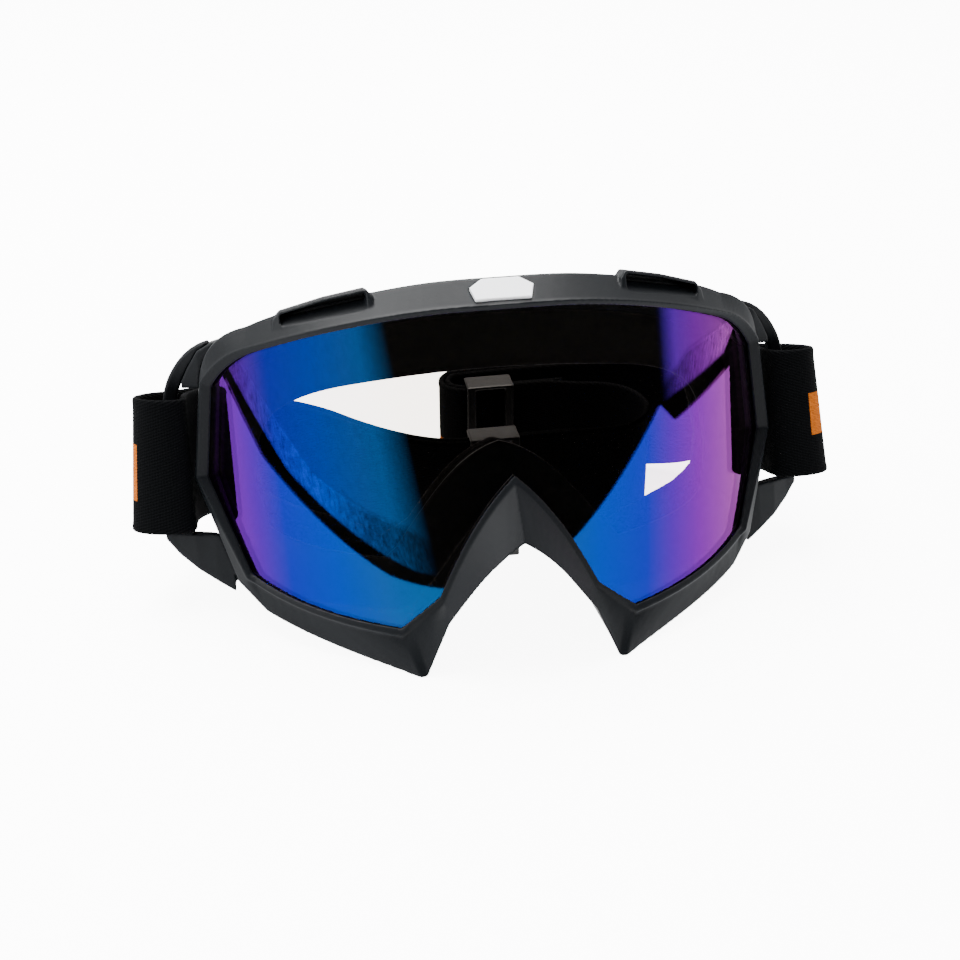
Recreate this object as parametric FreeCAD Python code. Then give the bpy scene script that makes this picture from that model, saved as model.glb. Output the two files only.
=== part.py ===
import FreeCAD, Part
import math
import os

# Motorcycle goggles, as they stand on a table: two nose-side tips and the lower foam touch it,
# and the elastic strap is folded into a bundle behind the frame.
#
# Frame parts are drawn in the lens frame: x across the face, b back from the lens, u up along
# the lens cylinder's axis.  The whole frame then leans back by LEAN, as it does on a table.

# ---------------------------------------------------------------- driving dimensions (mm)
LEAN = 20.0                 # lean of the lens axis when the goggles stand, degrees
LENS_RADIUS = 110.0         # front surface of the rim, a cylinder about the u direction
RIM_FRONT = -27.35          # b of the rim's foremost line, at x = 0
LENS_DEPTH = 1.5            # lens surface behind the rim
LENS_THICKNESS = 1.2
TABLE_GAP = 0.3             # what stays clear of the table behind the resting tips
LENS_TUCK = 2.0             # lens edge held inside the rim's groove
GROOVE_CLEARANCE = 0.12
RIM_DEPTH = 4.6             # inner wall of the rim
RIM_BEAD = 0.8              # how far the rim's face stands above its two edges
NOSE_BEAD = 0.15
BAND_THICKNESS = 3.0
SEAT_WIDTH = 2.9            # rim to the back of the lens seat
WALL = 2.2                  # moulded wall of the rear frame
FLANGE = 2.0                # thickness of the face flange
SEAM = 0.12                 # gap between pieces that meet
FOAM_INSET = 0.8
GLUE = 0.2                  # glue line in front of each foam layer
FOAM_LAYERS = (("face_foam_base", 6.0), ("face_foam_core", 5.0), ("face_fleece", 2.4))
VENT_HOLE = 4.2
VENT_PITCH = 6.4
STRAP_WIDTH = 41.5
STRAP_THICKNESS = 1.8
STRAP_LIFT = 1.6            # strap's lower edge above the table, on the sliders' rails
SLIDER_BAR = 3.0
SLIDER_LENGTH = 16.0
SLIDER_BAR_DEPTH = 2.2
SLIDER_RAIL = 1.2
SLIDER_CLEAR = 0.25
SEWN_LENGTH = 24.0
BAR_SLICES = 25
DOUBLE = 2.0 * STRAP_THICKNESS + 0.5
BADGE_RISE = 0.7
BADGE_SUNK = 0.8
HOOD_ROOF = 1.0             # roof thickness over the intake slot
VENT_SLOTS = ((4.0, 17.0), (23.0, 37.0), (43.0, 55.0))
VENT_START = 38.5
VENT_HOLES = 5
VENT_FOAM = 1.0

# Outlines and routes, right side where the left mirrors it.
TOP = (0, 1, 2, 3, 4)
BOTTOM = (9, 10, 11, 12)
NOSE = 13                   # first station of the nose piece
HOOD_RISES = ((36.4, -0.6), (38.2, 1.9), (50.0, 1.8), (62.8, 0.9), (65.0, -0.8))
BADGE_OUTLINE = ((8.1, 0.12), (9.3, 0.6), (5.4, 0.92))
OUTRIGGER_ROUTE = (
    (84.4, 20.0, 89.4), (90.0, 22.2, 86.8), (94.4, 24.4, 82.2), (97.4, 26.0, 76.4),
    (98.5, 27.4, 68.0), (98.6, 28.6, 56.0), (99.0, 29.2, 44.0), (100.0, 28.8, 35.0),
    (101.0, 27.0, 28.4),
)
WING_SLICES = (
    (83.0, 14.4, 19.0, 13.2, 30.0), (88.0, 16.2, 21.5, 16.4, 31.4), (94.0, 19.0, 25.0, 20.4, 31.6),
    (99.5, 22.5, 28.5, 25.0, 31.6), (103.4, 24.6, 29.6, 29.8, 31.6),
)
SHOULDER_SLICES = (
    (79.0, 14.0, 24.0, 82.0, 92.0), (84.0, 16.0, 25.0, 77.2, 90.8), (88.4, 17.6, 26.0, 77.2, 88.4),
    (91.6, 19.4, 26.4, 77.2, 83.6), (94.0, 20.8, 26.6, 77.2, 79.2),
)
LOOP_LOW = 33.4             # u of the loop's lower edge
LOOP_FLARE = 5.2            # how far the loose loop opens outward at its lower edge
LOOP_PLAN = (
    (89.8, 47.0), (92.4, 40.5), (93.9, 33.5), (94.2, 26.0), (94.2, 19.5), (95.4, 15.4),
    (98.8, 13.2), (103.2, 13.8), (106.6, 16.8), (108.2, 21.6), (107.6, 27.8),
    (104.8, 33.6), (100.4, 38.6), (96.4, 43.6), (93.0, 48.4),
)
LEAD_X = 89.5
LEAD_B = 52.5
RIGHT_LEAD = (
    ((84.5, 70.0, 10.0), (85.5, 79.0, 50.0)), ((76.5, 78.0, 5.0), (77.0, 82.4, 46.3)),
    ((66.5, 83.4, 2.6), (66.5, 85.4, 44.1)),
)
RIGHT_RUN = [(54.0, 87.2), (38.0, 88.7), (20.0, 89.0), (6.0, 88.3)]
RIGHT_FOLD = (-1.0, 82.0)
FOLD_RADIUS = 6.3
SLIDER_RIGHT = (7.0, 75.7)
RIGHT_END = [(8.2, 75.7)]
LEFT_LEAD = (
    ((-84.5, 68.0, 10.0), (-85.5, 77.5, 50.0)), ((-76.5, 73.6, 5.4), (-77.0, 78.6, 46.6)),
    ((-67.0, 75.0, 2.8), (-67.0, 76.8, 44.2)),
)
LEFT_RUN = [(-58.0, 73.4), (-49.5, 66.6), (-41.0, 57.6), (-31.5, 49.0), (-21.5, 42.3),
            (-11.0, 38.6), (3.2, 38.6)]
SLIDER_LEFT = (2.0, 38.6)
BACK_MIDDLE = [(31.0, 74.6), (37.0, 72.8)]
BACK_TURN = (40.0, 55.2)
BACK_RADIUS = 16.6

COS = math.cos(math.radians(LEAN))
SIN = math.sin(math.radians(LEAN))
V = FreeCAD.Vector


def rim_b(x):
    """Depth of the rim's front cylinder at x."""
    return RIM_FRONT + LENS_RADIUS - math.sqrt(LENS_RADIUS ** 2 - x ** 2)


# Stations round the frame, from the top centre down the right side to the nose.  Each has the
# aperture edge (x, u), the rim's outer edge (x, u), the band's outer edge (x, u, b), the face
# flange's outer edge (x, u, b) and inner edge (x, u, b), and whether the outline is creased.
STATIONS = (
    ((0.0, 97.3), (0.0, 98.7), (0.0, 106.2, -20.0), (0.0, 96.5, 10.0), (0.0, 77.0, 12.0), False),
    ((20.0, 97.0), (20.1, 98.4), (20.5, 105.8, -18.4), (20.0, 96.2, 10.8), (19.0, 76.5, 12.8), False),
    ((40.0, 95.0), (40.4, 96.4), (41.5, 103.2, -12.0), (41.0, 93.8, 14.0), (38.0, 75.0, 15.6), False),
    ((60.0, 91.3), (60.6, 92.8), (62.5, 99.2, -2.5), (61.0, 89.5, 19.5), (56.0, 72.0, 20.2), False),
    ((72.5, 88.0), (73.6, 89.6), (73.0, 95.6, 4.0), (73.5, 84.0, 24.0), (65.5, 67.8, 24.0), True),
    ((80.6, 83.0), (82.6, 85.2), (83.3, 90.6, 10.0), (80.5, 77.0, 27.0), (70.0, 62.5, 26.4), False),
    ((84.8, 78.0), (87.9, 79.2), (88.4, 79.6, 16.0), (84.6, 68.5, 29.8), (72.5, 56.0, 28.4), True),
    ((88.4, 49.8), (92.0, 49.8), (92.6, 49.8, 19.0), (87.0, 48.0, 30.2), (74.0, 44.0, 29.0), True),
    ((77.6, 20.6), (79.2, 19.4), (81.8, 17.6, 8.5), (87.0, 25.0, 24.5), (70.5, 31.0, 23.0), True),
    ((76.6, 19.8), (77.0, 17.9), (74.2, 9.2, 2.4), (82.0, 15.2, 18.5), (68.0, 30.0, 19.0), True),
    ((62.5, 12.6), (62.3, 10.7), (62.5, 3.2, -6.0), (66.0, 9.0, 9.5), (59.5, 26.5, 11.8), False),
    ((49.0, 8.5), (48.8, 6.5), (47.0, -3.3, -14.5), (48.5, 5.8, 3.0), (46.5, 23.5, 6.0), False),
    ((35.6, 5.7), (35.4, 3.5), (31.0, -9.0, -24.7), (35.0, 5.0, -3.0), (37.0, 22.5, 1.5), True),
    ((33.0, 7.7), (32.4, 5.8), (29.0, -8.6, -24.2), (29.5, 6.2, -4.0), (33.5, 25.6, 0.0), True),
    ((23.9, 14.7), (22.9, 13.7), (22.0, 7.6, -28.2), (22.5, 13.5, -5.0), (28.0, 33.0, -1.0), True),
    ((17.0, 27.9), (15.9, 27.3), (16.2, 15.4, -31.0), (16.0, 21.5, -5.0), (21.0, 41.5, -1.0), False),
    ((9.3, 39.4), (8.3, 38.6), (9.8, 23.2, -34.4), (9.0, 29.5, -5.0), (11.5, 50.5, -1.0), False),
    ((0.0, 49.3), (0.0, 47.9), (0.0, 31.3, -37.2), (0.0, 36.5, -5.0), (0.0, 56.0, -1.0), True),
)


def toward(start, end, distance):
    """Point at a distance from start towards end, in x and u."""
    length = math.hypot(end[0] - start[0], end[1] - start[1])
    share = distance / length
    return (start[0] + (end[0] - start[0]) * share, start[1] + (end[1] - start[1]) * share)


def band_back(aperture, band):
    """Rear edge of the bezel's band: behind the lens seat, and clear of the table."""
    seat = toward(aperture, band[:2], SEAT_WIDTH)
    seat_b = rim_b(seat[0]) + RIM_DEPTH
    back_b = max(band[2] + BAND_THICKNESS, seat_b + 0.6)
    table_u = (TABLE_GAP + back_b * SIN) / COS
    return (*seat, seat_b), (band[0], max(band[1], table_u), back_b)


def bezel_lines():
    """Section of the bezel at each station: rim wall, rim face, step, band and back."""
    lines = [[] for _ in range(7)]
    for index, (aperture, rim, band, _, _, _) in enumerate(STATIONS):
        front = rim_b(aperture[0])
        bead = RIM_BEAD if index < NOSE else NOSE_BEAD
        slope = math.sqrt(1.0 - (aperture[0] / LENS_RADIUS) ** 2)
        step = toward(rim, band[:2], 0.45)
        seat, back = band_back(aperture, band)
        section = (
            (*aperture, front + RIM_DEPTH / slope),
            (*aperture, front + 0.7),
            (*rim, front + 0.7 - bead),
            (*step, front + 0.7),
            band,
            back,
            seat,
        )
        for line, (x, u, b) in zip(lines, section):
            line.append(V(x, b, u))
    return lines


def rear_frame_lines():
    """Section of the rear frame: a wall behind the bezel and a flange towards the face."""
    lines = [[] for _ in range(7)]
    for aperture, _, band, outer, inner, _ in STATIONS:
        _, back = band_back(aperture, band)
        edge = toward(back[:2], inner[:2], 0.5)
        lining = toward(back[:2], inner[:2], 0.5 + WALL)
        root = toward(outer[:2], inner[:2], WALL)
        section = (
            (*lining, back[2] + SEAM),
            (*edge, back[2] + SEAM),
            outer,
            (outer[0], outer[1], outer[2] + FLANGE),
            (inner[0], inner[1], inner[2] + FLANGE),
            inner,
            (*root, outer[2]),
        )
        for line, (x, u, b) in zip(lines, section):
            line.append(V(x, b, u))
    return lines


def foam_lines(start, thickness):
    """Four edges of one foam layer, start millimetres behind the flange."""
    lines = [[] for _ in range(4)]
    for _, _, _, outer, inner, _ in STATIONS:
        edge = toward(outer[:2], inner[:2], FOAM_INSET)
        lip = toward(inner[:2], outer[:2], FOAM_INSET)
        section = (
            (*edge, outer[2] + FLANGE + start),
            (*edge, outer[2] + FLANGE + start + thickness),
            (*lip, inner[2] + FLANGE + start + thickness),
            (*lip, inner[2] + FLANGE + start),
        )
        for line, (x, u, b) in zip(lines, section):
            line.append(V(x, b, u))
    return lines


def full_loop(half):
    """The whole loop from its right half: the left half is its mirror image."""
    left = [V(-point.x, point.y, point.z) for point in half[-2:0:-1]]
    return half + left


def crease_runs():
    """Pairs of loop indices between creases, in order, with the last run closing the loop."""
    half = [station[5] for station in STATIONS]
    flags = half + half[-2:0:-1]
    creases = [index for index, flag in enumerate(flags) if flag]
    closing = creases[0] + len(flags)
    return list(zip(creases, creases[1:] + [closing])), len(flags)


def run_edge(loop, start, end, count):
    points = [loop[index % count] for index in range(start, end + 1)]
    if len(points) == 2:
        return Part.makeLine(points[0], points[1])
    curve = Part.BSplineCurve()
    curve.interpolate(points)
    return curve.toShape()


def ring(lines):
    """Closed solid round the frame whose section has one corner on each line."""
    runs, count = crease_runs()
    loops = [full_loop(line) for line in lines]
    faces = []
    for start, end in runs:
        edges = [run_edge(loop, start, end, count) for loop in loops]
        for edge, following in zip(edges, edges[1:] + edges[:1]):
            faces.append(Part.makeRuledSurface(edge, following))
    shell = Part.makeShell(faces)
    shell.sewShape()
    solid = Part.makeSolid(shell)
    if solid.Volume < 0:
        solid.reverse()
    return solid


def loft(sections):
    """Ruled solid through closed polygons of the same number of corners."""
    wires = [Part.makePolygon(list(section) + [section[0]]) for section in sections]
    return Part.makeLoft(wires, True, True)


def lens_blank(clearance):
    """The lens sheet: an outline tucked under the rim, bent to the rim's cylinder."""
    half = []
    for aperture, _, band, _, _, _ in STATIONS:
        x, u = toward(aperture, band[:2], LENS_TUCK + clearance)
        half.append(V(x, -60.0, u))
    loop = full_loop(half)
    runs, count = crease_runs()
    wire = Part.Wire([run_edge(loop, start, end, count) for start, end in runs])
    sheet = Part.Face(wire).extrude(V(0, 120.0, 0))
    axis_b = RIM_FRONT + LENS_RADIUS
    outer = LENS_RADIUS - LENS_DEPTH + clearance
    inner = LENS_RADIUS - LENS_DEPTH - LENS_THICKNESS - clearance
    base = V(0, axis_b, -20.0)
    tube = Part.makeCylinder(outer, 140.0, base).cut(Part.makeCylinder(inner, 140.0, base))
    front = Part.makeBox(240.0, axis_b + 60.0, 140.0, V(-120.0, -60.0, -20.0))
    return sheet.common(tube).common(front)


def blend(first, second, share):
    return tuple(p + (q - p) * share for p, q in zip(first, second))


def station_at(x, indices):
    """Station values at x, between the two listed stations that lie either side of it."""
    for first, second in zip(indices, indices[1:]):
        here, there = STATIONS[first], STATIONS[second]
        low, high = sorted((here[2][0], there[2][0]))
        if low <= x <= high:
            share = (x - here[2][0]) / (there[2][0] - here[2][0])
            return [blend(p, q, share) for p, q in zip(here[:5], there[:5])]
    raise ValueError("no station at this x")


def slice_at(x, corners):
    """Polygon at x from (b, u) corners."""
    return [V(x, b, u) for b, u in corners]


def air_hood(frame):
    """Intake hood on the right of the top band, and the slot under its roof."""
    body = []
    slot = []
    for x, rise in HOOD_RISES:
        aperture, rim, band, _, _ = station_at(x, TOP)
        front_b = rim_b(aperture[0]) + 0.7
        foot = blend((front_b, rim[1]), (band[2], band[1]), 0.38)
        roof = band[1] + rise
        body.append(slice_at(x, (
            (foot[0], foot[1] - 0.6),
            (foot[0] + 1.2, roof - 0.5),
            (foot[0] + 2.0, roof),
            (band[2] + 5.0, roof),
            (band[2] + 13.0, band[1] - 2.2),
            (band[2] + 2.5, band[1] - 2.6),
        )))
        slot.append(slice_at(x, (
            (foot[0] - 4.0, foot[1] + 0.1),
            (foot[0] - 4.0, roof - HOOD_ROOF),
            (band[2] + 5.0, roof - HOOD_ROOF),
            (band[2] + 5.0, band[1] - 1.2),
            (band[2] + 0.5, band[1] - 1.4),
            (foot[0], foot[1] + 0.1),
        )))
    return loft(body).cut(frame), loft(slot[1:-1])


def badge_plate(proud, sunk):
    """Blank plaque on the top band: an eight-sided outline, tilted with the band."""
    _, rim, band, _, _ = STATIONS[0][:5]
    foot = V(0, RIM_FRONT + 0.7, rim[1] + 0.45)
    head = V(0, band[2], band[1])
    along = head - foot
    normal = V(0, -along.z, along.y)
    normal.normalize()
    points = [foot + along * share + V(x, 0, 0) for x, share in BADGE_OUTLINE]
    corners = points + [foot + along * share - V(x, 0, 0) for x, share in reversed(BADGE_OUTLINE)]
    corners = [corner - normal * sunk for corner in corners]
    face = Part.Face(Part.makePolygon(corners + corners[:1]))
    return face.extrude(normal * (proud + sunk))


def swept_bar(route, half_width, half_depth, flat):
    """Bar with chamfered corners through the route's points, its width across the x-u plane."""
    curve = Part.BSplineCurve()
    curve.interpolate([V(x, b, u) for x, b, u in route])
    points = curve.discretize(Number=BAR_SLICES)
    sections = []
    for index, point in enumerate(points):
        before = points[max(index - 1, 0)]
        after = points[min(index + 1, len(points) - 1)]
        along = after - before
        across = V(along.z, 0, -along.x)
        across.normalize()
        depth = across.cross(along)
        depth.normalize()
        corners = []
        for side, face, swap in ((1, 1, 0), (1, -1, 1), (-1, -1, 0), (-1, 1, 1)):
            ends = [(half_width, half_depth - flat), (half_width - flat, half_depth)]
            if not swap:
                ends.reverse()
            corners += [point + across * (side * w) + depth * (face * d) for w, d in ends]
        sections.append(corners)
    return loft(sections)


def side_plate(slices):
    """Plate beside the bezel, from slices (x, front b, back b, lower u, upper u)."""
    sections = []
    for x, front, rear, low, high in slices:
        sections.append([V(x, front, low), V(x, front, high), V(x, rear, high), V(x, rear, low)])
    return loft(sections)


def wing():
    """Lower side wing of the rear frame, with the raised rib along its edge."""
    rib = loft((
        [V(96.0, 20.6, 31.4), V(97.8, 20.0, 31.4), V(99.8, 22.2, 31.2), V(98.2, 24.0, 31.2)],
        [V(91.0, 17.3, 24.8), V(92.2, 16.4, 24.3), V(93.7, 18.1, 23.4), V(92.4, 20.0, 24.0)],
        [V(85.8, 13.8, 17.0), V(86.3, 13.0, 16.7), V(86.9, 13.9, 16.2), V(86.5, 15.2, 16.4)],
    ))
    return side_plate(WING_SLICES).fuse(rib)


def top_vents():
    """Cutters for the slots through the rear frame's top wall, right side."""
    cutters = []
    for x_from, x_to in VENT_SLOTS:
        b = rim_b(0.5 * (x_from + x_to)) + 20.0
        cutters.append(Part.makeBox(x_to - x_from, 7.0, 24.0, V(x_from, b, 88.0)))
    return cutters


def lower_vents():
    """Cutters for the row of round holes through the rear frame's lower wall, right side."""
    cutters = []
    for index in range(VENT_HOLES):
        x = VENT_START + VENT_PITCH * index
        b = -3.6 + 0.55 * (x - 48.0)
        cutters.append(Part.makeCylinder(VENT_HOLE / 2.0, 26.0, V(x, b, -12.0)))
    return cutters


def vent_foam(xs, indices, side):
    """Strip of open foam over the vents, lying on the outside of the rear frame's wall."""
    slices = []
    for x in xs:
        aperture, _, band, outer, _ = station_at(x, indices)
        _, back = band_back(aperture, band)
        near = blend((back[2], back[1]), (outer[2], outer[1]), 0.34)
        far = blend((back[2], back[1]), (outer[2], outer[1]), 0.86)
        slices.append(slice_at(x, (
            (near[0], near[1]),
            (near[0], near[1] + side * VENT_FOAM),
            (far[0], far[1] + side * VENT_FOAM),
            (far[0], far[1]),
        )))
    return loft(slices)


def both_sides(shape):
    """The right-hand shape and its mirror image."""
    return shape, shape.mirror(V(0, 0, 0), V(1, 0, 0))


def lean(shape):
    placed = shape.copy()
    placed.rotate(V(0, 0, 0), V(1, 0, 0), -LEAN)
    return placed


def leaned(x, b, u):
    """A point of the lens frame, in the table frame."""
    return V(x, b * COS + u * SIN, u * COS - b * SIN)


def ribbon(stations, thickness):
    """Strap between its lower and upper edges at each station, thickened both ways."""
    sections = []
    for index, (low, high) in enumerate(stations):
        before = stations[max(index - 1, 0)]
        after = stations[min(index + 1, len(stations) - 1)]
        along = (after[0] + after[1]) - (before[0] + before[1])
        normal = along.cross(high - low)
        normal.normalize()
        normal = normal * (thickness / 2.0)
        sections.append([low - normal, high - normal, high + normal, low + normal])
    return loft(sections)


def arc_points(centre, radius, start, end, count):
    """Points on a circle in plan, angles in degrees from +x."""
    step = (end - start) / (count - 1)
    angles = [math.radians(start + step * index) for index in range(count)]
    return [(centre[0] + radius * math.cos(a), centre[1] + radius * math.sin(a)) for a in angles]


def upright(points):
    """Strap stations that stand on edge over the table."""
    return [(V(x, y, STRAP_LIFT), V(x, y, STRAP_LIFT + STRAP_WIDTH)) for x, y in points]


def loop_stations():
    """The right loop round its bar: from the lead, through the slot, round and back."""
    stations = []
    for x, b in LOOP_PLAN:
        flare = LOOP_FLARE * max(0.0, (x - 94.0) / 18.0)
        low = leaned(x + flare, b, LOOP_LOW)
        high = leaned(x, b, LOOP_LOW + STRAP_WIDTH)
        stations.append((low, high))
    return stations


def side_strap(side):
    """Double strap from the loop's lead to its slider, standing on edge in the bundle."""
    lead_low = leaned(LEAD_X, LEAD_B, LOOP_LOW)
    lead_high = leaned(LEAD_X, LEAD_B, LOOP_LOW + STRAP_WIDTH)
    if side > 0:
        stations = [(lead_low, lead_high)] + [(V(*low), V(*high)) for low, high in RIGHT_LEAD]
        fold = arc_points(RIGHT_FOLD, FOLD_RADIUS, 90.0, 270.0, 9)
        stations += upright(RIGHT_RUN + fold + RIGHT_END)
        return ribbon(stations, DOUBLE)
    stations = [(mirror(lead_low), mirror(lead_high))]
    stations += [(V(*low), V(*high)) for low, high in LEFT_LEAD]
    stations += upright(LEFT_RUN)
    return ribbon(stations, DOUBLE)


def mirror(point):
    return V(-point.x, point.y, point.z)


def back_strap():
    """Single strap between the sliders, turned once at the bundle's right end."""
    turn = arc_points(BACK_TURN, BACK_RADIUS, 75.0, -90.0, 13)
    points = [(SLIDER_RIGHT[0] + 2.6, SLIDER_RIGHT[1]), (SLIDER_RIGHT[0] + 18.0, SLIDER_RIGHT[1])]
    points += BACK_MIDDLE + turn
    points += [(SLIDER_LEFT[0] + 20.0, SLIDER_LEFT[1]), (SLIDER_LEFT[0] + 2.6, SLIDER_LEFT[1])]
    return ribbon(upright(points), STRAP_THICKNESS)


def slider(centre):
    """Three-bar buckle round the strap: outer bars before it, the middle bar behind it."""
    x, y = centre
    half = SLIDER_LENGTH / 2.0
    low = STRAP_LIFT - SLIDER_CLEAR
    high = STRAP_LIFT + STRAP_WIDTH + SLIDER_CLEAR
    front = y - DOUBLE / 2.0 - SLIDER_CLEAR
    rear = y + DOUBLE / 2.0 + SLIDER_CLEAR
    depth = rear - front + 2.0 * SLIDER_BAR_DEPTH
    base = V(x - half, front - SLIDER_BAR_DEPTH, low - SLIDER_RAIL)
    rails = [
        Part.makeBox(SLIDER_LENGTH, depth, SLIDER_RAIL, base),
        Part.makeBox(SLIDER_LENGTH, depth, SLIDER_RAIL, V(base.x, base.y, high)),
    ]
    rails = [rail.makeFillet(0.4 * SLIDER_RAIL, rail.Edges) for rail in rails]
    bars = []
    for shift, bar_y in ((-half + SLIDER_BAR / 2.0, front - SLIDER_BAR_DEPTH),
                         (0.0, rear),
                         (half - SLIDER_BAR / 2.0, front - SLIDER_BAR_DEPTH)):
        corner = V(x + shift - SLIDER_BAR / 2.0, bar_y, low - 1.0)
        bar = Part.makeBox(SLIDER_BAR, SLIDER_BAR_DEPTH, high - low + 2.0, corner)
        bars.append(bar.makeFillet(0.7, [edge for edge in bar.Edges if edge.Length > 10.0]))
    return rails[0].multiFuse(rails[1:] + bars)


def sewn_end(centre):
    """Strap end turned round the slider's middle bar and stitched back on itself."""
    x, y = centre
    rear = y + STRAP_THICKNESS / 2.0 + 0.15
    start = x + SLIDER_BAR / 2.0 + 0.4
    flap = Part.makeBox(SEWN_LENGTH, STRAP_THICKNESS, STRAP_WIDTH, V(start, rear, STRAP_LIFT))
    return flap.makeFillet(0.7, [edge for edge in flap.Edges if edge.Length > 30.0])


SHAPES = {}
rear_frame = ring(rear_frame_lines())
hood, hood_slot = air_hood(rear_frame)
bezel = ring(bezel_lines())
for shape in both_sides(hood):
    bezel = bezel.fuse(shape)
for shape in both_sides(hood_slot):
    bezel = bezel.cut(shape)
bezel = bezel.cut(badge_plate(1.0, BADGE_SUNK))
bezel = bezel.cut(lens_blank(GROOVE_CLEARANCE))
SHAPES["bezel"] = lean(bezel)
first_foam = ring(foam_lines(0.0, FOAM_LAYERS[0][1] + 2.0 * GLUE))
for plate in (wing(), side_plate(SHOULDER_SLICES)):
    for shape in both_sides(plate.cut(first_foam)):
        rear_frame = rear_frame.fuse(shape)
rear_frame = rear_frame.cut(ring(bezel_lines()))
for cutter in top_vents() + lower_vents():
    for shape in both_sides(cutter):
        rear_frame = rear_frame.cut(shape)
SHAPES["rear_frame"] = lean(rear_frame)
SHAPES["lens"] = lean(lens_blank(0.0))
SHAPES["badge"] = lean(badge_plate(BADGE_RISE, BADGE_SUNK))
outrigger = swept_bar(OUTRIGGER_ROUTE, 2.2, 2.1, 0.7)
outrigger = max(outrigger.cut(rear_frame).cut(bezel).Solids, key=lambda solid: solid.Volume)
for side, shape in zip(("right", "left"), both_sides(outrigger)):
    SHAPES[f"outrigger_{side}"] = lean(shape)
for side, shape in zip(("right", "left"), both_sides(vent_foam((3.0, 20.5, 41.5), TOP, 1.0))):
    SHAPES[f"vent_foam_top_{side}"] = lean(shape.cut(rear_frame)).cut(SHAPES["bezel"])
table = Part.makeBox(300.0, 300.0, 40.0, V(-150.0, -150.0, -40.0))
kept_clear = table.translated(V(0, 0, 0.5))
for side, shape in zip(("right", "left"), both_sides(vent_foam((38.0, 47.0, 62.5), BOTTOM, -1.0))):
    SHAPES[f"vent_foam_low_{side}"] = lean(shape.cut(rear_frame)).cut(kept_clear)
start = GLUE
for name, thickness in FOAM_LAYERS:
    SHAPES[name] = lean(ring(foam_lines(start, thickness))).cut(table)
    start += thickness + GLUE
loop = ribbon(loop_stations(), STRAP_THICKNESS)
for side, shape in zip(("right", "left"), both_sides(loop)):
    SHAPES[f"strap_loop_{side}"] = shape
SHAPES["strap_side_right"] = side_strap(1)
SHAPES["strap_side_left"] = side_strap(-1)
SHAPES["strap_back"] = back_strap()
for side, centre in (("right", SLIDER_RIGHT), ("left", SLIDER_LEFT)):
    SHAPES[f"slider_{side}"] = slider(centre)
    SHAPES[f"sewn_end_{side}"] = sewn_end(centre)

whole = Part.makeCompound(list(SHAPES.values())).optimalBoundingBox()
origin = V(0.0, whole.Center.y, whole.ZMin)
os.makedirs("parts", exist_ok=True)
for name, shape in SHAPES.items():
    shape.translate(-origin)
    shape.exportStep(f"parts/{name}.step")
    print(name, shape.isValid(), len(shape.Solids), round(shape.Volume / 1000.0, 2), "cm3")
print("origin moved by", origin)
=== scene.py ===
import math

import bmesh
import bpy
from mathutils import Matrix, Vector


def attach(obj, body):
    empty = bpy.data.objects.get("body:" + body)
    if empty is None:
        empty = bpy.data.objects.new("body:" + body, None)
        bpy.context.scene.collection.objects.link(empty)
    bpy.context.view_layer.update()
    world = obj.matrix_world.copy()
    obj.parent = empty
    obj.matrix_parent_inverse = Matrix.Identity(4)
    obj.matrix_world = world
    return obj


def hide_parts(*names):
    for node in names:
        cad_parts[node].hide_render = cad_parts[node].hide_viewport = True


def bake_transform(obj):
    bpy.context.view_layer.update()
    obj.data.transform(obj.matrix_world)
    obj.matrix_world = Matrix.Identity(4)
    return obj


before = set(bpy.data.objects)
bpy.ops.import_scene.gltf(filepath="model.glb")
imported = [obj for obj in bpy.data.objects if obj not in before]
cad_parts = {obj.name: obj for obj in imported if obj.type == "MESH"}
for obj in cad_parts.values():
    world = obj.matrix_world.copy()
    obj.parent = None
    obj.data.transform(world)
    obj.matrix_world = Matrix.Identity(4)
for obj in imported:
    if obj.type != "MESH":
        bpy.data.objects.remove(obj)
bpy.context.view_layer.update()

MM = 0.001

# ------------------------------------------------------------------ sizes and routes (mm)
ORIGIN_Y = 32.3806          # the row frame's origin, in the table frame that routes are given in
ORIGIN_Z = -0.1248
LEAN = math.radians(20.0)   # lean of the lens axis
LENS_FRONT = 108.5          # radii of the lens's two faces
LENS_BACK = 107.3
LENS_AXIS_B = 82.65         # depth of the lens cylinder's axis in the lens frame
STRAP_WIDTH = 41.5
STRAP_LIFT = 1.6            # strap's lower edge above the table
WEBBING = 1.75              # thickness of one layer
LAYER_GAP = 1.15            # from the middle of the doubled strap to each layer's middle
LOOP_LOW = 33.4             # u of the loop's lower edge
LOOP_FLARE = 5.2            # how far the loose loop opens outward at its lower edge
LOOP_TILT = {1: 0.0, -1: 0.09}   # rise of each side's loop per millimetre outward
LOOP_PLAN = (
    (89.8, 47.0), (92.4, 40.5), (93.9, 33.5), (94.2, 26.0), (94.2, 19.5), (95.4, 15.4),
    (98.8, 13.2), (103.2, 13.8), (106.6, 16.8), (108.2, 21.6), (107.6, 27.8),
    (104.8, 33.6), (100.4, 38.6), (96.4, 43.6), (93.0, 48.4),
)
RIGHT_LEAD = (
    ((84.5, 70.0, 10.0), (85.5, 79.0, 50.0)), ((76.5, 78.0, 5.0), (77.0, 82.4, 46.3)),
    ((66.5, 83.4, 2.6), (66.5, 85.4, 44.1)),
)
RIGHT_RUN = ((54.0, 87.2), (38.0, 88.7), (20.0, 89.0), (6.0, 88.3))
RIGHT_FOLD = (-1.0, 82.0)
RIGHT_END = (8.2, 75.7)
LEFT_LEAD = (
    ((-84.5, 68.0, 10.0), (-85.5, 77.5, 50.0)), ((-76.5, 73.6, 5.4), (-77.0, 78.6, 46.6)),
    ((-67.0, 75.0, 2.8), (-67.0, 76.8, 44.2)),
)
LEFT_RUN = (
    (-58.0, 73.4), (-49.5, 66.6), (-41.0, 57.6), (-31.5, 49.0), (-21.5, 42.3),
    (-11.0, 38.6), (3.2, 38.6),
)
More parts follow.
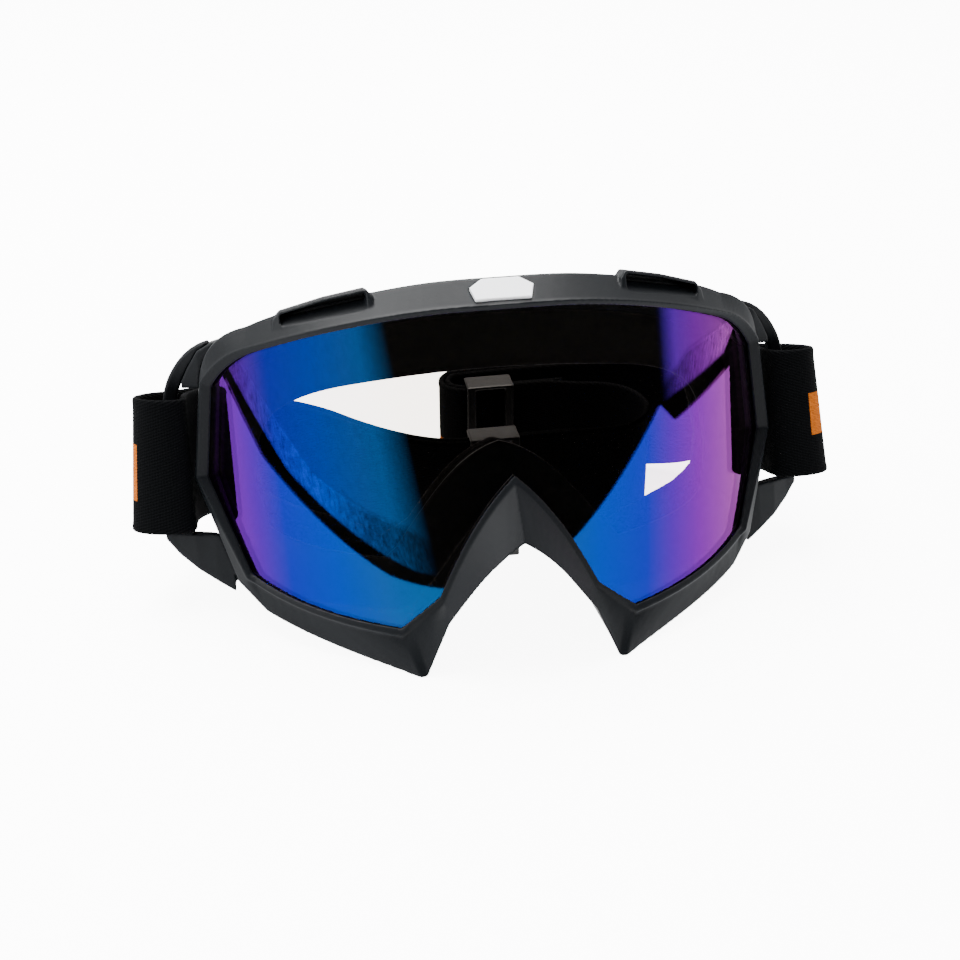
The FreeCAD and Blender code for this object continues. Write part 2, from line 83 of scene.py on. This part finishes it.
FOLD_RADIUS = 6.3
BACK_TURN = (40.0, 55.2)
BACK_RADIUS = 16.6
SEWN_OFFSET = 1.05          # from a slider's centre line to the webbing sewn round its bar
SLIDERS = {"right": (7.0, 75.7), "left": (2.0, 38.6)}


# ------------------------------------------------------------------ places
def row(x, y, z):
    """A point of the table frame, in metres of the row frame."""
    return Vector((x, y - ORIGIN_Y, z - ORIGIN_Z)) * MM


def leaned(x, b, u):
    """A point of the lens frame (across, back, up the lens axis), in the row frame."""
    return row(x, b * math.cos(LEAN) + u * math.sin(LEAN), u * math.cos(LEAN) - b * math.sin(LEAN))


def lens_frame(point):
    """The lens frame's x, b and u of a row frame point, in millimetres."""
    y = point.y / MM + ORIGIN_Y
    z = point.z / MM + ORIGIN_Z
    return (point.x / MM, y * math.cos(LEAN) - z * math.sin(LEAN),
            y * math.sin(LEAN) + z * math.cos(LEAN))


# ------------------------------------------------------------------ node material helpers
def new_material(name):
    material = bpy.data.materials.new(name)
    material.use_nodes = True
    tree = material.node_tree
    return material, tree, tree.nodes["Principled BSDF"]


def add_node(tree, kind, **inputs):
    node = tree.nodes.new(kind)
    for key, value in inputs.items():
        node.inputs[key.replace("_", " ")].default_value = value
    return node


def math_node(tree, operation, first, second=None, third=None):
    """A Math node; each argument is a number or a socket."""
    node = tree.nodes.new("ShaderNodeMath")
    node.operation = operation
    for socket, value in zip(node.inputs, (first, second, third)):
        if value is None:
            continue
        if isinstance(value, (int, float)):
            socket.default_value = value
        else:
            tree.links.new(value, socket)
    return node.outputs[0]


def ramp_node(tree, value, stops):
    node = tree.nodes.new("ShaderNodeValToRGB")
    elements = node.color_ramp.elements
    for element, (position, color) in zip((elements[0], elements[1]), (stops[0], stops[-1])):
        element.position = position
        element.color = (*color, 1.0)
    for position, color in stops[1:-1]:
        elements.new(position).color = (*color, 1.0)
    tree.links.new(value, node.inputs["Fac"])
    return node.outputs["Color"]


def bump(tree, height, shader, strength, distance):
    node = add_node(tree, "ShaderNodeBump", Strength=strength, Distance=distance)
    tree.links.new(height, node.inputs["Height"])
    tree.links.new(node.outputs["Normal"], shader.inputs["Normal"])


def object_noise(tree, scale, detail):
    coords = tree.nodes.new("ShaderNodeTexCoord")
    noise = add_node(tree, "ShaderNodeTexNoise", Scale=scale, Detail=detail)
    tree.links.new(coords.outputs["Object"], noise.inputs["Vector"])
    return noise.outputs["Fac"]


def moulded(name, color, roughness, grain, strength, gloss_level=0.5):
    """Moulded plastic with a fine etched grain and a slight change of gloss."""
    material, tree, shader = new_material(name)
    shader.inputs["Base Color"].default_value = (*color, 1.0)
    shader.inputs["Specular IOR Level"].default_value = gloss_level
    broad = object_noise(tree, 60.0, 3.0)
    gloss = math_node(tree, "MULTIPLY_ADD", broad, 0.12, roughness - 0.06)
    tree.links.new(gloss, shader.inputs["Roughness"])
    bump(tree, object_noise(tree, grain, 2.0), shader, strength, 0.0002)
    return material


def foam(name, color, pore):
    """Open-cell foam: rough, with pores of one size."""
    material, tree, shader = new_material(name)
    shader.inputs["Roughness"].default_value = 0.95
    shader.inputs["Specular IOR Level"].default_value = 0.05
    coords = tree.nodes.new("ShaderNodeTexCoord")
    cells = add_node(tree, "ShaderNodeTexVoronoi", Scale=pore)
    tree.links.new(coords.outputs["Object"], cells.inputs["Vector"])
    dark = tuple(0.35 * c for c in color)
    tone = ramp_node(tree, cells.outputs["Distance"], ((0.1, dark), (0.55, color)))
    tree.links.new(tone, shader.inputs["Base Color"])
    bump(tree, cells.outputs["Distance"], shader, 0.7, 0.0006)
    return material


def fleece():
    """Brushed fleece: matte, with a soft sheen and an uneven pile."""
    material, tree, shader = new_material("fleece_pile")
    shader.inputs["Roughness"].default_value = 1.0
    shader.inputs["Specular IOR Level"].default_value = 0.1
    shader.inputs["Sheen Weight"].default_value = 0.08
    shader.inputs["Sheen Roughness"].default_value = 0.6
    pile = object_noise(tree, 900.0, 6.0)
    tone = ramp_node(tree, pile, ((0.3, (0.0015, 0.0015, 0.0018)), (0.75, (0.007, 0.007, 0.0075))))
    tree.links.new(tone, shader.inputs["Base Color"])
    bump(tree, pile, shader, 0.9, 0.0012)
    return material


def webbing(name, marks):
    """Woven elastic: a fine twill, and flat orange marks at given places.

    The strap's first UV runs along the webbing in units of its width, the second across it.
    """
    material, tree, shader = new_material(name)
    shader.inputs["Roughness"].default_value = 0.85
    shader.inputs["Specular IOR Level"].default_value = 0.03
    uv = tree.nodes.new("ShaderNodeUVMap")
    uv.uv_map = "strap"
    split = tree.nodes.new("ShaderNodeSeparateXYZ")
    tree.links.new(uv.outputs["UV"], split.inputs[0])
    along, across = split.outputs["X"], split.outputs["Y"]
    lines = math_node(tree, "MULTIPLY", across, 2.0 * math.pi * 44.0)
    slant = math_node(tree, "MULTIPLY", along, 2.0 * math.pi * 16.0)
    ribs = math_node(tree, "SINE", math_node(tree, "ADD", lines, slant))
    picks = math_node(tree, "SINE", math_node(tree, "MULTIPLY", along, 2.0 * math.pi * 52.0))
    twill = math_node(tree, "MULTIPLY_ADD", picks, 0.45, ribs)
    fuzz = object_noise(tree, 1400.0, 3.0)
    relief = math_node(tree, "ADD", math_node(tree, "MULTIPLY", twill, 0.5), fuzz)
    bump(tree, relief, shader, 0.55, 0.0003)
    shade = ramp_node(tree, math_node(tree, "MULTIPLY_ADD", twill, 0.5, 0.5),
                      ((0.0, (0.0006, 0.0007, 0.0009)), (1.0, (0.002, 0.0022, 0.0026))))
    mask = None
    for start, end, low, high in marks:
        parts = (
            math_node(tree, "GREATER_THAN", along, start),
            math_node(tree, "LESS_THAN", along, end),
            math_node(tree, "GREATER_THAN", across, low),
            math_node(tree, "LESS_THAN", across, high),
        )
        here = parts[0]
        for part in parts[1:]:
            here = math_node(tree, "MULTIPLY", here, part)
        mask = here if mask is None else math_node(tree, "MAXIMUM", mask, here)
    if mask is None:
        tree.links.new(shade, shader.inputs["Base Color"])
        return material
    orange = ramp_node(tree, fuzz, ((0.3, (0.26, 0.06, 0.004)), (0.7, (0.4, 0.1, 0.01))))
    mix = tree.nodes.new("ShaderNodeMix")
    mix.data_type = "RGBA"
    tree.links.new(mask, mix.inputs[0])
    # the Mix node has an A and a B for each data type; 6 and 7 are the colours
    tree.links.new(shade, mix.inputs[6])
    tree.links.new(orange, mix.inputs[7])
    tree.links.new(mix.outputs[2], shader.inputs["Base Color"])
    return material


def mirror_coating():
    """Coated lens: a see-through sheet under a weak mirror whose colour turns with the angle
    it is seen at, from teal face on, through blue, to violet and pink."""
    material = bpy.data.materials.new("mirror_coating")
    material.use_nodes = True
    tree = material.node_tree
    tree.nodes.clear()
    out = tree.nodes.new("ShaderNodeOutputMaterial")
    facing = add_node(tree, "ShaderNodeLayerWeight", Blend=0.5)
    tint = ramp_node(tree, facing.outputs["Facing"], LENS_TINTS)
    glossy = add_node(tree, "ShaderNodeBsdfGlossy", Roughness=0.012)
    tree.links.new(tint, glossy.inputs["Color"])
    clear = tree.nodes.new("ShaderNodeBsdfTransparent")
    clear.inputs["Color"].default_value = (0.66, 0.63, 0.6, 1.0)
    both = tree.nodes.new("ShaderNodeAddShader")
    tree.links.new(clear.outputs[0], both.inputs[0])
    tree.links.new(glossy.outputs[0], both.inputs[1])
    tree.links.new(both.outputs[0], out.inputs["Surface"])
    return material


LENS_TINTS = (
    (0.0, (0.0, 0.042, 0.09)),
    (0.06, (0.0, 0.036, 0.14)),
    (0.13, (0.0, 0.022, 0.2)),
    (0.22, (0.004, 0.010, 0.2)),
    (0.29, (0.04, 0.004, 0.19)),
    (0.38, (0.085, 0.006, 0.18)),
    (0.55, (0.15, 0.03, 0.17)),
    (0.8, (0.3, 0.2, 0.3)),
)
TPU = moulded("tpu_satin", (0.0036, 0.0044, 0.0054), 0.46, 2600.0, 0.12, 0.13)
SLIDER_PLASTIC = moulded("slider_satin", (0.004, 0.004, 0.0045), 0.34, 2000.0, 0.08, 0.25)
WHITE_PLATE = moulded("badge_white", (0.82, 0.83, 0.85), 0.35, 2400.0, 0.08)
FOAM = foam("foam_cells", (0.006, 0.006, 0.0065), 900.0)
VENT_FOAM = foam("vent_cells", (0.010, 0.010, 0.011), 550.0)
FLEECE = fleece()
COATING = mirror_coating()


# ------------------------------------------------------------------ meshes
def copied(node, name, material, voxel=None, smoothing=0):
    """A rounded copy of a CAD node: even cells, with its sharp edges eased."""
    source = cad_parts[node]
    mesh = source.data.copy()
    mesh.materials.clear()
    mesh.materials.append(material)
    piece = bpy.data.objects.new(name, mesh)
    bpy.context.scene.collection.objects.link(piece)
    weld = piece.modifiers.new("weld", "WELD")
    weld.merge_threshold = 0.00001
    if voxel:
        remesh = piece.modifiers.new("cells", "REMESH")
        remesh.mode = "VOXEL"
        remesh.voxel_size = voxel * MM
        ease = piece.modifiers.new("ease", "SMOOTH")
        ease.factor = 0.5
        ease.iterations = smoothing
    graph = bpy.context.evaluated_depsgraph_get()
    result = bpy.data.meshes.new_from_object(piece.evaluated_get(graph))
    piece.modifiers.clear()
    piece.data = result
    result.materials.clear()
    result.materials.append(material)
    result.shade_smooth()
    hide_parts(node)
    return piece


def puffed(piece, rise):
    """Swell a face ring's lower lip towards the wearer's eyes, under the cheeks."""
    for vertex in piece.data.vertices:
        x, b, u = lens_frame(vertex.co)
        reach = min(max((u - 6.0) / 18.0, 0.0), 1.0)
        side = min(max((abs(x) - 28.0) / 14.0, 0.0), 1.0)
        side *= min(max((82.0 - abs(x)) / 12.0, 0.0), 1.0)
        low = min(max((50.0 - u) / 10.0, 0.0), 1.0)
        lift = rise * reach ** 2 * side * low * (1.4 if x < 0.0 else 0.95)
        vertex.co = leaned(x, b, u + lift)
    return piece


def placed(piece, body):
    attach(piece, body)
    return piece


def lens_sheet():
    """The lens, with the shading normals of true cylinders on its front and back."""
    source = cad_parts["lens"]
    mesh = source.data.copy()
    mesh.materials.clear()
    mesh.materials.append(COATING)
    piece = bpy.data.objects.new("lens_sheet", mesh)
    bpy.context.scene.collection.objects.link(piece)
    mesh.shade_smooth()
    normals = [None] * len(mesh.loops)
    back_dir = leaned(0, 1, 0) - leaned(0, 0, 0)
    back_dir.normalize()
    for polygon in mesh.polygons:
        points = [lens_frame(mesh.vertices[i].co) for i in polygon.vertices]
        radii = [math.hypot(x, b - LENS_AXIS_B) for x, b, _ in points]
        front = all(abs(r - LENS_FRONT) < 0.25 for r in radii)
        rear = all(abs(r - LENS_BACK) < 0.25 for r in radii)
        for loop, (x, b, _) in zip(polygon.loop_indices, points):
            if front or rear:
                outward = Vector((x, 0, 0)) + back_dir * (b - LENS_AXIS_B)
                normals[loop] = (outward if front else -outward).normalized()
            else:
                normals[loop] = polygon.normal.copy()
    mesh.normals_split_custom_set(normals)
    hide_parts("lens")
    return piece


def smooth_path(stations, pieces):
    """Catmull-Rom through station pairs (low, high), with `pieces` steps between two."""
    path = []
    count = len(stations)
    for index in range(count - 1):
        keys = [stations[max(index - 1, 0)], stations[index], stations[index + 1],
                stations[min(index + 2, count - 1)]]
        for step in range(pieces):
            t = step / pieces
            weights = (
                -0.5 * t ** 3 + t ** 2 - 0.5 * t,
                1.5 * t ** 3 - 2.5 * t ** 2 + 1.0,
                -1.5 * t ** 3 + 2.0 * t ** 2 + 0.5 * t,
                0.5 * t ** 3 - 0.5 * t ** 2,
            )
            path.append(tuple(
                sum((key[end] * w for key, w in zip(keys, weights)), Vector()) for end in (0, 1)
            ))
    path.append(stations[-1])
    return path


SECTION = (
    (0.0, 0.0), (0.004, 0.34), (0.012, 0.5), (0.03, 0.56), (0.05, 0.5), (0.07, 0.46),
    (0.25, 0.46), (0.5, 0.46), (0.75, 0.46),
    (0.93, 0.46), (0.95, 0.5), (0.97, 0.56), (0.988, 0.5), (0.996, 0.34), (1.0, 0.0),
)


def strap(name, stations, material, steps=6):
    """Closed webbing through stations, with thick bound edges and UVs along and across it."""
    path = smooth_path(stations, steps)
    mesh = bpy.data.meshes.new(name)
    build = bmesh.new()
    layer = build.loops.layers.uv.new("strap")
    outline = [(v, t) for v, t in SECTION] + [(v, -t) for v, t in SECTION[-2:0:-1]]
    rings = []
    travelled = 0.0
    lengths = []
    outermost = max(range(len(path)), key=lambda index: abs(path[index][1].x))
    for index, (low, high) in enumerate(path):
        before = path[max(index - 1, 0)]
        after = path[min(index + 1, len(path) - 1)]
        along = (after[0] + after[1]) - (before[0] + before[1])
        normal = along.cross(high - low).normalized()
        if index:
            travelled += (low + high - before[0] - before[1]).length / 2.0
        lengths.append(travelled / (STRAP_WIDTH * MM))
        rings.append([
            build.verts.new(low.lerp(high, v) + normal * (t * WEBBING * MM)) for v, t in outline
        ])
    zero = lengths[outermost]
    lengths = [length - zero for length in lengths]
    count = len(outline)
    for index in range(len(rings) - 1):
        for side in range(count):
            other = (side + 1) % count
            face = build.faces.new((rings[index][side], rings[index + 1][side],
                                    rings[index + 1][other], rings[index][other]))
            uvs = ((lengths[index], outline[side][0]), (lengths[index + 1], outline[side][0]),
                   (lengths[index + 1], outline[other][0]), (lengths[index], outline[other][0]))
            for loop, uv in zip(face.loops, uvs):
                loop[layer].uv = uv
    build.faces.new(list(reversed(rings[0])))
    build.faces.new(rings[-1])
    bmesh.ops.recalc_face_normals(build, faces=build.faces)
    build.to_mesh(mesh)
    build.free()
    mesh.materials.append(material)
    mesh.shade_smooth()
    piece = bpy.data.objects.new(name, mesh)
    bpy.context.scene.collection.objects.link(piece)
    return piece


def upright(x, y):
    return (row(x, y, STRAP_LIFT), row(x, y, STRAP_LIFT + STRAP_WIDTH))


def arc(centre, radius, start, end, count):
    step = (end - start) / (count - 1)
    angles = [math.radians(start + step * index) for index in range(count)]
    return [(centre[0] + radius * math.cos(a), centre[1] + radius * math.sin(a)) for a in angles]


def shifted(stations, distance):
    """Stations moved sideways by a distance in millimetres, square to the webbing."""
    moved = []
    for index, (low, high) in enumerate(stations):
        before = stations[max(index - 1, 0)]
        after = stations[min(index + 1, len(stations) - 1)]
        along = (after[0] + after[1]) - (before[0] + before[1])
        normal = along.cross(high - low).normalized() * (distance * MM)
        moved.append((low + normal, high + normal))
    return moved


def loop_stations(side):
    stations = []
    for x, b in LOOP_PLAN:
        flare = LOOP_FLARE * max(0.0, (x - 94.0) / 18.0)
        low = LOOP_LOW + LOOP_TILT[side] * (x - 100.0)
        stations.append((leaned(side * (x + flare), b, low),
                         leaned(side * x, b, low + STRAP_WIDTH)))
    return stations


def double_strap(side, lead, run):
    """One webbing: along the inner layer, round the loop at the bar, back on the outer layer."""
    tail = [(row(*low), row(*high)) for low, high in lead] + [upright(x, y) for x, y in run]
    loop = loop_stations(side)
    inner = shifted(tail, -side * LAYER_GAP)
    outer = shifted(tail, side * LAYER_GAP)
    return list(reversed(inner)) + loop + outer


fold = arc(RIGHT_FOLD, FOLD_RADIUS, 90.0, 270.0, 9)
right_tail = list(RIGHT_RUN) + fold[1:] + [RIGHT_END]
# Flat orange marks: start and end along the strap from its outermost point, low and high edge
# across it.  All are in strap widths.
RIGHT_MARKS = ((-0.27, 0.3, 0.32, 0.65), (3.5, 3.86, 0.2, 0.5))
LEFT_MARKS = ((-0.13, 0.5, 0.24, 0.66),)
strap_right = strap("strap_webbing_right", double_strap(1, RIGHT_LEAD, right_tail),
                    webbing("webbing_right", RIGHT_MARKS))
strap_left = strap("strap_webbing_left", double_strap(-1, LEFT_LEAD, LEFT_RUN),
                   webbing("webbing_left", LEFT_MARKS))
back_turn = arc(BACK_TURN, BACK_RADIUS, 75.0, -90.0, 13)
back_points = [(9.6, 75.7), (25.0, 75.7), (31.0, 74.6), (37.0, 72.8)]
back_points += back_turn + [(22.0, 38.6), (4.6, 38.6)]
strap_back = strap("strap_webbing_back", [upright(x, y) for x, y in back_points],
                   webbing("webbing_back", ()))
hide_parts("strap_loop_right", "strap_side_right")
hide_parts("strap_loop_left", "strap_side_left")
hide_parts("strap_back")
placed(strap_back, "frame")
for piece, side in ((strap_right, 1), (strap_left, -1)):
    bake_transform(piece)

for side in ("right", "left"):
    x, y = SLIDERS[side]
    ends = [upright(x + reach, y + SEWN_OFFSET) for reach in (1.9, 12.0, 25.9)]
    tail = strap(f"strap_tail_{side}", ends, webbing(f"webbing_tail_{side}", ()))
    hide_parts(f"sewn_end_{side}")
    placed(tail, f"adjuster_{side}")
    slider = copied(f"slider_{side}", f"slider_body_{side}", SLIDER_PLASTIC, 0.3, 3)
    placed(slider, f"adjuster_{side}")
    arm = copied(f"outrigger_{side}", f"outrigger_arm_{side}", TPU, 0.35, 6)
    placed(arm, "frame")
    for level in ("top", "low"):
        pad = copied(f"vent_foam_{level}_{side}", f"vent_pad_{level}_{side}", VENT_FOAM, 0.5, 4)
        placed(pad, "frame")

placed(copied("bezel", "bezel_moulding", TPU, 0.38, 3), "frame")
placed(copied("rear_frame", "rear_moulding", TPU, 0.4, 3), "frame")
placed(copied("badge", "badge_plaque", WHITE_PLATE, 0.2, 3), "frame")
placed(lens_sheet(), "frame")
for node, name, material, slot_name, swell in (
    ("face_foam_base", "foam_base", FOAM, "foam_black", 0.0),
    ("face_foam_core", "foam_core", FOAM, "foam_black", 3.0),
    ("face_fleece", "fleece_facing", FLEECE, "fleece_black", 7.0),
):
    ring = puffed(copied(node, name, material, 0.7, 5), swell)
    placed(ring, "frame")


# ------------------------------------------------------------------ stage, light and camera
def card(name, centre, width, height, facing, material, seen=False):
    mesh = bpy.data.meshes.new(name)
    w, h = width / 2.0, height / 2.0
    mesh.from_pydata([(-w, -h, 0), (w, -h, 0), (w, h, 0), (-w, h, 0)], [], [(0, 1, 2, 3)])
    piece = bpy.data.objects.new(name, mesh)
    mesh.materials.append(material)
    bpy.context.scene.collection.objects.link(piece)
    piece.rotation_euler = Vector(facing).to_track_quat("Z", "Y").to_euler()
    piece.location = centre
    piece.visible_camera = seen
    return piece


FLOOR_GLOW = 9.0


def lit_floor():
    """White acrylic table top lit from below: it looks pure white, but lights the goggles
    above it only softly."""
    material, tree, shader = new_material("floor_white")
    shader.inputs["Base Color"].default_value = (0.85, 0.85, 0.85, 1.0)
    shader.inputs["Roughness"].default_value = 0.7
    shader.inputs["Specular IOR Level"].default_value = 0.1
    shader.inputs["Emission Color"].default_value = (1.0, 1.0, 1.0, 1.0)
    path_kind = tree.nodes.new("ShaderNodeLightPath")
    scattered = math_node(tree, "MULTIPLY", path_kind.outputs["Is Diffuse Ray"], -0.9 * FLOOR_GLOW)
    tree.links.new(math_node(tree, "ADD", scattered, FLOOR_GLOW),
                   shader.inputs["Emission Strength"])
    return material


table = card("floor", (0.0, 0.0, 0.0), 8.0, 8.0, (0, 0, 1), lit_floor(), seen=True)
table.visible_glossy = False


ROOM_LIGHT = 2.4


def room(tree):
    """What the lens mirrors: a white sweep low in front, a dark room, and two lit panels."""
    coords = tree.nodes.new("ShaderNodeTexCoord")
    split = tree.nodes.new("ShaderNodeSeparateXYZ")
    tree.links.new(coords.outputs["Generated"], split.inputs[0])
    x, y, z = split.outputs
    turn = math_node(tree, "ARCTAN2", x, math_node(tree, "MULTIPLY", y, -1.0))
    share = math_node(tree, "MULTIPLY_ADD", turn, 0.5 / math.pi, 0.5)
    rise = math_node(tree, "ADD", z, math_node(tree, "MULTIPLY", y, 0.225))
    rise = math_node(tree, "ADD", rise, 0.117)

    def edge(stops):
        """Height of an edge against the turn from straight ahead, in degrees."""
        keys = [(0.5 + degrees / 360.0, (0.5 + height * 5.0,) * 3) for degrees, height in stops]
        level = ramp_node(tree, share, keys)
        return math_node(tree, "MULTIPLY", math_node(tree, "SUBTRACT", level, 0.5), 0.2)

    def above(value, level, softness):
        """0 below the level, 1 above it, with a soft step."""
        gap = math_node(tree, "DIVIDE", math_node(tree, "SUBTRACT", value, level), softness)
        node = tree.nodes.new("ShaderNodeClamp")
        tree.links.new(math_node(tree, "ADD", gap, 0.5), node.inputs["Value"])
        return node.outputs[0]

    def times(*factors):
        result = factors[0]
        for factor in factors[1:]:
            result = math_node(tree, "MULTIPLY", result, factor)
        return result

    sweep_edge = edge(((-95, 0.0), (-80, -0.02), (-35, -0.02), (30, 0.005), (66, 0.03),
                       (72, 0.005), (105, -0.035)))
    band_low = edge(((-95, 0.015), (-70, -0.0075), (-25, -0.0075), (66, 0.03), (73, 0.022),
                     (100, -0.016)))
    band_high = edge(((-85, 0.03), (-60, 0.01), (-27, 0.02), (-12, 0.01), (66, 0.04),
                      (80, 0.035), (105, -0.005)))
    # Below sweep_edge all is white; a dark gap follows, then a brushed panel up to band_high.
    sweep = math_node(tree, "SUBTRACT", 1.0, above(rise, sweep_edge, 0.0015))
    in_band = times(above(rise, band_low, 0.002),
                    math_node(tree, "SUBTRACT", 1.0, above(rise, band_high, 0.002)))
    over_band = above(rise, band_high, 0.004)

    mapping = tree.nodes.new("ShaderNodeMapping")
    mapping.inputs["Scale"].default_value = (60.0, 60.0, 260.0)
    tree.links.new(coords.outputs["Generated"], mapping.inputs["Vector"])
    grain = add_node(tree, "ShaderNodeTexNoise", Scale=1.0, Detail=5.0, Roughness=0.7)
    tree.links.new(mapping.outputs["Vector"], grain.inputs["Vector"])
    streaks = ramp_node(tree, grain.outputs["Fac"], ((0.36, (0.35,) * 3), (0.68, (1.3,) * 3)))
    flat_grain = ramp_node(tree, grain.outputs["Fac"], ((0.3, (0.82,) * 3), (0.7, (1.12,) * 3)))

    left_turn = math_node(tree, "ADD", turn, math_node(tree, "MULTIPLY", z, 1.9))
    left_lit = math_node(tree, "SUBTRACT", 1.0, above(left_turn, -0.27, 0.26))
    right_lit = above(turn, 1.24, 0.12)
    levels = ((-95, 0.55), (-70, 1.0), (-58, 1.1), (-40, 0.42), (-10, 0.25), (60, 0.2),
              (78, 0.4), (104, 1.1))
    band_level = ramp_node(tree, share, [(0.5 + turned / 360.0, (level,) * 3)
                                         for turned, level in levels])
    lit = math_node(tree, "MAXIMUM", left_lit, right_lit)
    panels = times(lit, over_band, flat_grain, 0.62)
    lit_band = times(lit, in_band, streaks, band_level)
    total = math_node(tree, "ADD", sweep, math_node(tree, "ADD", panels, lit_band))
    return math_node(tree, "MULTIPLY", total, ROOM_LIGHT)


world = bpy.data.worlds.new("studio")
bpy.context.scene.world = world
world.use_nodes = True
sky = world.node_tree
background = sky.nodes["Background"]
background.inputs["Color"].default_value = (1.0, 1.0, 1.0, 1.0)
path_kind = sky.nodes.new("ShaderNodeLightPath")
choice = sky.nodes.new("ShaderNodeMix")
choice.data_type = "FLOAT"
choice.inputs[2].default_value = 0.9
sky.links.new(path_kind.outputs["Is Glossy Ray"], choice.inputs[0])
sky.links.new(room(sky), choice.inputs[3])
sky.links.new(choice.outputs[0], background.inputs["Strength"])


def area_light(name, place, aim, size, power):
    light = bpy.data.lights.new(name, "AREA")
    light.shape = "RECTANGLE"
    light.size, light.size_y = size
    light.energy = power
    lamp = bpy.data.objects.new(name, light)
    lamp.location = place
    direction = Vector(aim) - Vector(place)
    lamp.rotation_euler = direction.to_track_quat("-Z", "Y").to_euler()
    bpy.context.scene.collection.objects.link(lamp)


area_light("top_light", (-0.15, 0.45, 1.1), (0, 0, 0), (1.2, 0.9), 60.0)
area_light("left_light", (-1.2, -0.1, 0.8), (0, 0, 0.05), (0.7, 0.7), 14.0)

# The camera stands in front, above and to the goggles' left, looking down at them.
FOCAL_LENGTH = 56.25
CAMERA_PLACE = Vector((-0.072, -0.40938, 0.27112))
yaw, pitch, roll = math.radians(-9.5), math.radians(30.0), math.radians(-0.39)
right = Vector((math.cos(yaw), math.sin(yaw), 0.0))
back = Vector((math.sin(yaw) * math.cos(pitch), -math.cos(yaw) * math.cos(pitch), math.sin(pitch)))
up = back.cross(right)
turned_right = right * math.cos(roll) + up * math.sin(roll)
turned_up = up * math.cos(roll) - right * math.sin(roll)
camera_data = bpy.data.cameras.new("camera")
camera_data.lens = FOCAL_LENGTH
camera_data.sensor_width = 36.0
camera_data.dof.use_dof = False
camera = bpy.data.objects.new("camera", camera_data)
bpy.context.scene.collection.objects.link(camera)
camera.matrix_world = Matrix((
    (turned_right.x, turned_up.x, back.x, CAMERA_PLACE.x),
    (turned_right.y, turned_up.y, back.y, CAMERA_PLACE.y),
    (turned_right.z, turned_up.z, back.z, CAMERA_PLACE.z),
    (0.0, 0.0, 0.0, 1.0),
))
bpy.context.scene.camera = camera
